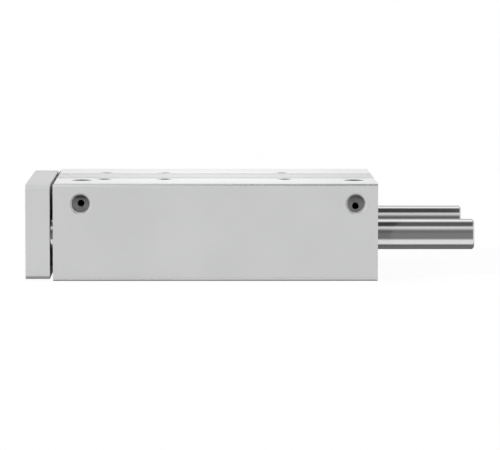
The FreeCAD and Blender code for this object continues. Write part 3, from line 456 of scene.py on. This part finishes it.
# Turned metal: every piece that comes off a lathe, with its own colour and shine
turnedMetals = {
    "cap_aluminium": {"pale": (0.70, 0.70, 0.71), "dark": (0.60, 0.60, 0.61), "metallic": 0.8,
                      "roughness": (0.28, 0.42), "fineness": 3200.0, "cloud": 40.0, "depth": 0.000006},
    "spacer_aluminium": {"pale": (0.72, 0.72, 0.73), "dark": (0.62, 0.62, 0.63), "metallic": 0.8,
                         "roughness": (0.30, 0.45), "fineness": 2600.0, "cloud": 40.0, "depth": 0.000008},
    "hard_chrome": {"pale": (0.727, 0.715, 0.720), "dark": (0.707, 0.695, 0.700), "metallic": 0.91,
                    "roughness": (0.05, 0.09), "fineness": 9000.0, "cloud": 40.0, "depth": 0.0000006},
    "bearing_steel": {"pale": (0.58, 0.58, 0.59), "dark": (0.50, 0.50, 0.51), "metallic": 0.95,
                      "roughness": (0.16, 0.26), "fineness": 6000.0, "cloud": 40.0, "depth": 0.000002},
}


def turnedFinish(name):
    look = turnedMetals[name]
    material, tree, shader = newMaterial(name, look)
    marks = effect(tree, "lathe", Fineness=look["fineness"])["Marks"]
    cloud = effect(tree, "grain", Cloud_size=look["cloud"])["Cloud"]
    tint(tree, shader, span(tree, cloud, *noiseRange["cloud"]), look)
    roughen(tree, shader, marks, look)
    emboss(tree, shader, marks, look["depth"])
    return material


# Coated steel, bronze, rubbers and plastics: an even skin with its own grain
skins = {
    "spring_steel": {"pale": (0.13, 0.13, 0.135), "dark": (0.085, 0.085, 0.09), "metallic": 0.7,
                     "roughness": (0.42, 0.60), "fineness": 2600.0, "cloud": 180.0, "depth": 0.000006},
    "screw_steel": {"pale": (0.075, 0.075, 0.08), "dark": (0.045, 0.045, 0.05), "metallic": 0.75,
                    "roughness": (0.30, 0.44), "fineness": 3000.0, "cloud": 220.0, "depth": 0.000004},
    "plug_steel": {"pale": (0.130, 0.130, 0.135), "dark": (0.090, 0.090, 0.095), "metallic": 0.75,
                   "roughness": (0.38, 0.52), "fineness": 3000.0, "cloud": 160.0, "depth": 0.000004},
    "bush_bronze": {"pale": (0.62, 0.43, 0.22), "dark": (0.43, 0.28, 0.13), "metallic": 0.9,
                    "roughness": (0.38, 0.60), "fineness": 2200.0, "cloud": 900.0, "depth": 0.000012},
    "black_rubber": {"pale": (0.030, 0.030, 0.031), "dark": (0.020, 0.020, 0.021), "metallic": 0.0,
                     "roughness": (0.55, 0.72), "fineness": 1800.0, "cloud": 90.0, "depth": 0.00001},
    "seal_polyurethane": {"pale": (0.060, 0.075, 0.115), "dark": (0.040, 0.052, 0.085), "metallic": 0.0,
                          "roughness": (0.32, 0.44), "fineness": 1500.0, "cloud": 70.0, "depth": 0.000006},
    "bumper_rubber": {"pale": (0.045, 0.045, 0.047), "dark": (0.030, 0.030, 0.031), "metallic": 0.0,
                      "roughness": (0.60, 0.78), "fineness": 1600.0, "cloud": 90.0, "depth": 0.000012},
    "cage_polymer": {"pale": (0.76, 0.745, 0.69), "dark": (0.70, 0.68, 0.62), "metallic": 0.0,
                     "roughness": (0.36, 0.48), "fineness": 1700.0, "cloud": 60.0, "depth": 0.000008},
    "wear_polymer": {"pale": (0.12, 0.125, 0.13), "dark": (0.08, 0.083, 0.088), "metallic": 0.0,
                     "roughness": (0.44, 0.58), "fineness": 2400.0, "cloud": 500.0, "depth": 0.000008},
    "magnet_compound": {"pale": (0.14, 0.135, 0.13), "dark": (0.07, 0.068, 0.066), "metallic": 0.2,
                        "roughness": (0.50, 0.70), "fineness": 2800.0, "cloud": 1400.0, "depth": 0.00001},
}


def skinFinish(name):
    look = skins[name]
    material, tree, shader = newMaterial(name, look)
    grain = effect(tree, "grain", Fineness=look["fineness"], Cloud_size=look["cloud"])
    tint(tree, shader, span(tree, grain["Cloud"], *noiseRange["skin"]), look)
    roughen(tree, shader, grain["Grain"], look)
    emboss(tree, shader, grain["Grain"], look["depth"])
    return material


finishes = {"housing_anodised": housingFinish(), "yoke_anodised": yokeFinish()}
finishes.update({name: turnedFinish(name) for name in turnedMetals})
finishes.update({name: skinFinish(name) for name in skins})
for part in record["subparts"]:
    for place in nodes[part["node"]].material_slots:
        place.material = finishes[part["material_slot"]]
print("finishes: %d materials on %d nodes" % (len(finishes), len(record["subparts"])))


# Mesh helpers
mergeDistance = 1e-7


def addPiece(name, points, body, slot, wrapBoth=False, sharp=35.0):
    # points[row, column] on the surface; columns close round, rows too where wrapBoth is set
    rows, columns = points.shape[:2]
    index = np.arange(rows * columns).reshape(rows, columns)
    index = np.concatenate([index, index[:, :1]], axis=1)
    if wrapBoth:
        index = np.concatenate([index, index[:1]], axis=0)
    quads = np.stack([index[:-1, :-1], index[:-1, 1:], index[1:, 1:], index[1:, :-1]], axis=-1).reshape(-1, 4)
    mesh = bpy.data.meshes.new(name)
    mesh.from_pydata(points.reshape(-1, 3), [], quads)
    work = bmesh.new()
    work.from_mesh(mesh)
    bmesh.ops.remove_doubles(work, verts=work.verts, dist=mergeDistance)
    bmesh.ops.recalc_face_normals(work, faces=work.faces)
    work.to_mesh(mesh)
    work.free()
    mesh.polygons.foreach_set("use_smooth", np.ones(len(mesh.polygons), dtype=bool))
    mesh.set_sharp_from_angle(angle=math.radians(sharp))
    mesh.materials.append(finishes[slot])
    piece = bpy.data.objects.new(name, mesh)
    bpy.context.scene.collection.objects.link(piece)
    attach(piece, body)
    return piece


def sideways(inward):  # two unit vectors square to inward, turning right-handed about it
    inward = np.array(inward, float)
    first = np.array([0.0, 0.0, 1.0]) if abs(inward[2]) < 0.5 else np.array([1.0, 0.0, 0.0])
    return first, np.cross(inward, first)


def aroundAxis(mouth, inward, depths, radii, turns):
    # point = mouth + inward * depth + radius * (cos turn * first + sin turn * second)
    first, second = sideways(inward)
    spokes = np.cos(turns)[:, None] * first + np.sin(turns)[:, None] * second
    axis = depths[:, None, None] * np.array(inward, float)
    return np.array(mouth) + axis + radii[:, :, None] * spokes[None]


def fullTurn(steps):
    return np.linspace(0.0, 2 * np.pi, steps, endpoint=False)


# Cut threads in the supply ports, the mounting holes and the load holes of the yoke, in millimetres
threadSizes = {
    "supplyPort": {"major": 6.5785, "minor": 5.7225, "pitch": 1.337, "mouth": 7.0785, "length": 10.9,
                   "slot": "housing_anodised"},
    "mountHole": {"major": 5.0, "minor": 4.188, "pitch": 1.5, "mouth": 5.15, "length": 17.95,
                  "slot": "housing_anodised"},
    "loadHole": {"major": 4.0, "minor": 3.323, "pitch": 1.25, "mouth": 4.5, "length": 15.6,
                 "slot": "cap_aluminium"},
}
threadLook = {"turnSteps": 56, "stepsPerPitch": 9, "sunk": 0.12, "flat": 0.12, "ahead": 0.02, "sharp": 50.0}


def addThread(name, kind, mouth, inward, body):
    # inner wall: radius falls from major to minor along a helix, depth = pitch * (phase + turn / 360),
    # and never inside the lead-in cone, whose radius shrinks by one millimetre a millimetre
    size = threadSizes[kind]
    flat = threadLook["flat"]
    start = size["mouth"] - size["major"] - threadLook["ahead"]
    rows = int(size["length"] / size["pitch"] * threadLook["stepsPerPitch"])
    depth = np.linspace(start, size["length"], rows)
    turn = fullTurn(threadLook["turnSteps"])
    phase = (depth[:, None] / size["pitch"] - turn[None] / (2 * np.pi)) % 1.0
    ridge = np.clip((1 - np.abs(2 * phase - 1) - flat) / (1 - 2 * flat), 0, 1)
    inner = size["major"] - (size["major"] - size["minor"]) * ridge
    inner = np.maximum(inner, size["mouth"] - depth[:, None])
    outer = np.full((2, len(turn)), size["major"] + threadLook["sunk"])
    radii = np.concatenate([inner, outer])
    depths = np.concatenate([depth, [size["length"], start]])
    points = aroundAxis(mouth, inward, depths * mm, radii * mm, turn)
    return addPiece(name, points, body, size["slot"], wrapBoth=True, sharp=threadLook["sharp"])


# Floors of the supply ports, in millimetres: a shallow cone from the port's wall in to the round mouth of
# the air passage, and a wall from there to the drilled passage behind. The pairs hold the radius of the
# passage, and how far it lies below the port's axis, first at its mouth and then at its end.
portFloor = {"rim": 6.56, "depth": 10.97, "slope": 0.2, "wall": 0.08, "passage": (2.3, 2.1), "reach": 14.9,
             "drop": {"front": (0.35, 0.0), "rear": (2.0, 2.5)}, "rings": 6, "turnSteps": 72}


def addPortFloor(end, mouth):
    # seen from the mouth: circle = (1 - share) * rim circle + share * passage circle, sunk by slope times
    # the way in from the rim, then the passage wall; the same again one wall thickness behind closes it
    size = portFloor
    turn = fullTurn(size["turnSteps"])
    share = np.linspace(0.0, 1.0, size["rings"])[:, None]
    mouthDrop, endDrop = size["drop"][end]

    def sheet(behind):
        mouthRadius, endRadius = (radius + behind for radius in size["passage"])
        radius = (1 - share) * size["rim"] + share * mouthRadius
        across, up = radius * np.cos(turn), radius * np.sin(turn) - share * mouthDrop
        depth = size["depth"] + behind + size["slope"] * (size["rim"] - np.hypot(across, up))
        last = np.stack([endRadius * np.cos(turn), np.full_like(turn, size["reach"]),
                         endRadius * np.sin(turn) - endDrop], axis=-1)
        return np.concatenate([np.stack([across, depth, up], axis=-1), last[None]])

    points = np.array(mouth) + np.concatenate([sheet(0.0), sheet(size["wall"])[::-1]]) * mm
    addPiece(end + "PortFloor", points, "housing", "housing_anodised", wrapBoth=True)


def patternPlaces(name):  # hole centres of a stated bolt pattern, in the plane square to its axis
    mount = mounts[name]
    axis = int(np.argmax(np.abs(mount["axis"])))
    across = [i for i in range(3) if i != axis]
    steps = [mount["dims"].get(key, 0.0) / 2 * mm for key in ("spacing_x_mm", "spacing_y_mm")]
    places = []
    for first in sorted({-steps[0], steps[0]}):
        for second in sorted({-steps[1], steps[1]}):
            place = np.array(mount["pos_m"], float)
            place[across[0]] += first
            place[across[1]] += second
            places.append((place, -np.array(mount["axis"], float)))
    return places


for end in ("front", "rear"):
    port = np.array(mounts[end + "_supply_port"]["pos_m"])
    mouth = (port[0], housingLow[1], port[2])
    addThread(end + "PortThread", "supplyPort", mouth, (0, 1, 0), "housing")
    addPortFloor(end, mouth)
for face in ("base", "top"):
    holes = patternPlaces(face + "_threads_outer") + patternPlaces(face + "_threads_middle")
    for count, (place, inward) in enumerate(holes, start=1):
        addThread("%sMountThread%d" % (face, count), "mountHole", place, inward, "housing")
for count, (place, inward) in enumerate(patternPlaces("yoke_threads"), start=1):
    addThread("loadThread%d" % count, "loadHole", place, inward, "carriage")
print("threads cut in 2 ports, 12 mounting holes and 4 load holes")


# Socket screws and port plugs, in millimetres: one surface each, a profile of depths and radii carried
# round the axis, from the middle of the far end to the middle of the socket floor
screwSizes = {
    "guide": {"head": 8.0, "headR": 6.5, "shankR": 3.98, "hex": 6.0, "socket": 4.0, "ribs": 48},
    "piston": {"head": 10.0, "headR": 8.0, "shankR": 4.98, "hex": 8.0, "socket": 5.0, "ribs": 54},
}
screwLook = {"stepsPerRib": 6, "ribDepth": 0.16, "foot": 0.8, "underInset": 0.4, "underHeight": 0.25,
             "edge": 0.7, "ribsBelowEdge": 0.35, "edgeInset": 0.2, "roundDepth": 0.3, "roundInset": 0.65,
             "faceInset": 1.25}  # the last three are shares of the edge
plugLook = {"hex": 6.0, "socket": 5.0, "chamfer": 0.5, "roundShare": 0.3, "turnSteps": 72}
socketLook = {"mouth": 0.35, "cone": 0.35}


def hexRadius(turn, width):  # distance from the middle to a hexagon's wall: half width over cos of the turn
    return width / 2 / np.cos((turn + np.pi / 6) % (np.pi / 3) - np.pi / 6)


def socketRows(turn, width, depth):  # face edge, chamfered mouth, walls and coned floor of a hexagon socket
    ones = np.ones_like(turn)
    wall = hexRadius(turn, width)
    mouth, cone = socketLook["mouth"], socketLook["cone"]
    rim = width / math.sqrt(3) + mouth / 2
    return [(0.0, rim * ones), (mouth, wall), (depth, wall), (depth + cone / 2, wall / 2),
            (depth + cone, 0 * ones)]


def addSocketPiece(node, rows, turn, mouth, inward, body, slot):
    depths = np.array([row[0] for row in rows])
    radii = np.array([row[1] for row in rows])
    points = aroundAxis(mouth, inward, depths * mm, radii * mm, turn)
    piece = addPiece(node.replace("_", "-"), points, body, slot)
    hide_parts(node)


def addScrew(node, kind):
    # ribs of the head: radius = headR - ribDepth * (half + half * cos(ribs * turn)) squared, a wave a rib
    size, look = screwSizes[kind], screwLook
    low, high = boxOf(node)
    length = (high[0] - low[0]) / mm
    turn = fullTurn(size["ribs"] * look["stepsPerRib"])
    ones = np.ones_like(turn)
    head, headR, shankR = size["head"], size["headR"], size["shankR"]
    edge, foot = look["edge"], look["foot"]
    ribs = headR - look["ribDepth"] * (0.5 + 0.5 * np.cos(size["ribs"] * turn)) ** 2
    rows = [(length, 0 * ones), (length, (shankR - foot) * ones), (length - foot, shankR * ones),
            (head, shankR * ones), (head, (headR - look["underInset"]) * ones),
            (head - look["underHeight"], ribs), (edge + look["ribsBelowEdge"], ribs),
            (edge, (headR - look["edgeInset"]) * ones),
            (edge * look["roundDepth"], (headR - edge * look["roundInset"]) * ones),
            (0.0, (headR - edge * look["faceInset"]) * ones)]
    rows += socketRows(turn, size["hex"], size["socket"])
    mouth = (low[0], (low[1] + high[1]) / 2, (low[2] + high[2]) / 2)
    addSocketPiece(node, rows, turn, mouth, (1, 0, 0), "carriage", "screw_steel")


def addPlug(node):
    # plain cylinder of the solid plug's radius, chamfered at both ends, the upper chamfer eased
    look = plugLook
    low, high = boxOf(node)
    length, radius = (high[2] - low[2]) / mm, (high[0] - low[0]) / 2 / mm
    turn = fullTurn(look["turnSteps"])
    ones = np.ones_like(turn)
    cut = look["chamfer"]
    eased = cut * look["roundShare"]
    rows = [(length, 0 * ones), (length, (radius - cut) * ones), (length - cut, radius * ones),
            (cut, radius * ones), (eased, (radius - eased) * ones), (0.0, (radius - cut) * ones)]
    rows += socketRows(turn, look["hex"], look["socket"])
    mouth = ((low[0] + high[0]) / 2, (low[1] + high[1]) / 2, high[2])
    addSocketPiece(node, rows, turn, mouth, (0, 0, -1), "housing", "plug_steel")


addScrew("piston_rod_screw", "piston")
for side in ("near", "far"):
    addScrew(side + "_guide_rod_screw", "guide")
for end in ("front", "rear"):
    addPlug(end + "_port_plug")
print("screws: 3 in the yoke, plugs: 2 in the top ports")


# Studio: white floor and sky, a sun and a small lamp overhead, and a map of reflection cards for the gloss
studio = {
    "ambient": 0.64,
    # degrees round the rods from the camera's side: 0 ahead, 90 overhead, 180 behind, below minus
    "cards": [(-180, 0.19), (-125, 0.18), (-99, 0.15), (-92, 0.12), (-86, 0.17), (-79, 0.67), (-70, 1.09),
              (-60, 0.99), (-45, 0.99), (-39, 0.69), (-33, 0.32), (-26, 0.17), (-10, 0.19), (8, 0.17),
              (20, 0.11), (28, 0.11), (35, 0.24), (43, 0.52), (51, 0.86), (58, 0.90), (65, 0.34), (73, 0.02),
              (99, 0.01), (107, 0.21), (114, 0.48), (121, 1.18), (129, 1.41), (138, 0.84), (150, 0.55),
              (166, 0.55), (171, 0.83), (180, 0.83)],
    # levels at the front and rear ends, how far along X they turn over, and where they take the cards' place
    "beside": (0.45, 1.0), "besideTurn": (-0.5, 0.5), "besideEdge": (0.62, 0.88),
}


def makeWorld():
    # gloss sees the cards, other light the even ambient level, and the camera plain white
    world = bpy.data.worlds.new("studio")
    bpy.context.scene.world = world
    world.use_nodes = True
    tree = world.node_tree
    tree.nodes.clear()
    path = addNode(tree, "ShaderNodeLightPath").outputs
    direction = addNode(tree, "ShaderNodeTexCoord").outputs["Generated"]
    way = addNode(tree, "ShaderNodeSeparateXYZ", {0: direction}).outputs
    angle = calc(tree, "ARCTAN2", way["Z"], times(tree, way["Y"], -1.0))
    share = addNode(tree, "ShaderNodeMapRange", {"Value": angle, "From Min": -math.pi, "From Max": math.pi})
    ramp = addNode(tree, "ShaderNodeValToRGB", {"Fac": share.outputs[0]})
    stops = ramp.color_ramp.elements
    while len(stops) > 1:
        stops.remove(stops[-1])
    for count, (degrees, level) in enumerate(studio["cards"]):
        place = degrees / 360 + 0.5
        stop = stops[0] if count == 0 else stops.new(place)
        stop.position = place
        stop.color = (level, level, level, 1.0)
    endOn = span(tree, calc(tree, "ABSOLUTE", way["X"]), *studio["besideEdge"])
    beside = span(tree, way["X"], *studio["besideTurn"], *studio["beside"])
    cards = mixed(tree, endOn, ramp.outputs[0], beside)
    lit = mixed(tree, path["Is Glossy Ray"], studio["ambient"], cards)
    seen = calc(tree, "MAXIMUM", path["Is Camera Ray"], path["Is Transmission Ray"])
    level = mixed(tree, seen, lit, 1.0)
    background = addNode(tree, "ShaderNodeBackground", {"Color": (1.0, 1.0, 1.0, 1.0), "Strength": level})
    out = addNode(tree, "ShaderNodeOutputWorld")
    tree.links.new(background.outputs[0], out.inputs[0])


floorLook = {"half": 6.0, "drop": 0.0002, "white": 0.95, "shadow": 0.05, "bounce": 0.40,
             "contact": (0.0004, 0.0018), "contactShade": 0.08}


def makeFloor():
    # one sheet, mostly its own white to the camera, with the object's shadow laid faintly over it;
    # it throws little light back up, and gloss sees it only close by, where the object stands, as a dark
    # sheet of painted contact shade
    look = floorLook
    half, level = look["half"], cadBox[0][2] - look["drop"]
    mesh = bpy.data.meshes.new("floor")
    rim = [(-half, -half, level), (half, -half, level), (half, half, level), (-half, half, level)]
    mesh.from_pydata(rim, [], [(0, 1, 2, 3)])
    floor = bpy.data.objects.new("floor", mesh)
    bpy.context.scene.collection.objects.link(floor)
    material = bpy.data.materials.new("floor_white")
    material.use_nodes = True
    tree = material.node_tree
    tree.nodes.clear()
    path = addNode(tree, "ShaderNodeLightPath").outputs
    away = span(tree, path["Ray Length"], *look["contact"])
    # gloss rays close by see a dark painted contact shade instead of the paper's bounce level
    lit = span(tree, path["Is Glossy Ray"], 0.0, 1.0, look["bounce"], look["contactShade"])
    shade = mixed(tree, path["Is Camera Ray"], lit, look["white"])
    paper = addNode(tree, "ShaderNodeBsdfDiffuse", {"Color": shade})
    glow = addNode(tree, "ShaderNodeEmission", {"Color": (1.0, 1.0, 1.0, 1.0), "Strength": 1.0})
    clear = addNode(tree, "ShaderNodeBsdfTransparent")
    share = times(tree, path["Is Camera Ray"], 1 - look["shadow"])
    sheet = addNode(tree, "ShaderNodeMixShader", {0: share, 1: paper.outputs[0], 2: glow.outputs[0]})
    beyond = times(tree, path["Is Glossy Ray"], away)
    mix = addNode(tree, "ShaderNodeMixShader", {0: beyond, 1: sheet.outputs[0], 2: clear.outputs[0]})
    tree.links.new(mix.outputs[0], addNode(tree, "ShaderNodeOutputMaterial").inputs[0])
    mesh.materials.append(material)


lamps = {
    "key": {"kind": "SUN", "energy": 3.2, "angle": 6.0, "from": (-52.5, 20.0)},  # degrees aside and up
    "top": {"kind": "AREA", "energy": 0.158, "size": 0.1, "place": (0.0, 0.0, 0.20)},
}


def makeLamps():
    for name, values in lamps.items():
        light = bpy.data.lights.new(name, values["kind"])
        light.energy = values["energy"]
        lamp = bpy.data.objects.new(name, light)
        bpy.context.scene.collection.objects.link(lamp)
        if values["kind"] == "SUN":
            aside, up = (math.radians(turn) for turn in values["from"])
            light.angle = math.radians(values["angle"])
            lamp.rotation_euler = (math.pi / 2 - up, 0.0, aside)
        else:
            light.size = values["size"]
            lamp.location = values["place"]
        lamp.visible_glossy = lamp.visible_camera = False


# Camera at the photograph's view: place in mm, turns in radians, focal length and width in image pixels
view = {"place": (-10.678, -2263.476, 218.973), "yaw": 0.01518, "pitch": 0.08297, "roll": 0.0012,
        "focal": 3361.479, "width": 500, "sensor": 36.0, "clipEnd": 30.0}


def makeCamera():
    lens = bpy.data.cameras.new("camera")
    lens.sensor_fit = "HORIZONTAL"
    lens.sensor_width = view["sensor"]
    lens.lens = view["focal"] * view["sensor"] / view["width"]
    lens.clip_end = view["clipEnd"]
    camera = bpy.data.objects.new("camera", lens)
    camera.location = [value * mm for value in view["place"]]
    aimed = Euler((math.pi / 2 - view["pitch"], 0.0, -view["yaw"])).to_matrix()
    camera.rotation_euler = (aimed @ Matrix.Rotation(view["roll"], 3, "Z")).to_euler()
    bpy.context.scene.collection.objects.link(camera)
    bpy.context.scene.camera = camera


makeWorld()
makeFloor()
makeLamps()
makeCamera()
bpy.context.scene.view_settings.view_transform = "Standard"
print("studio: world, floor, %d lamps and camera" % len(lamps))
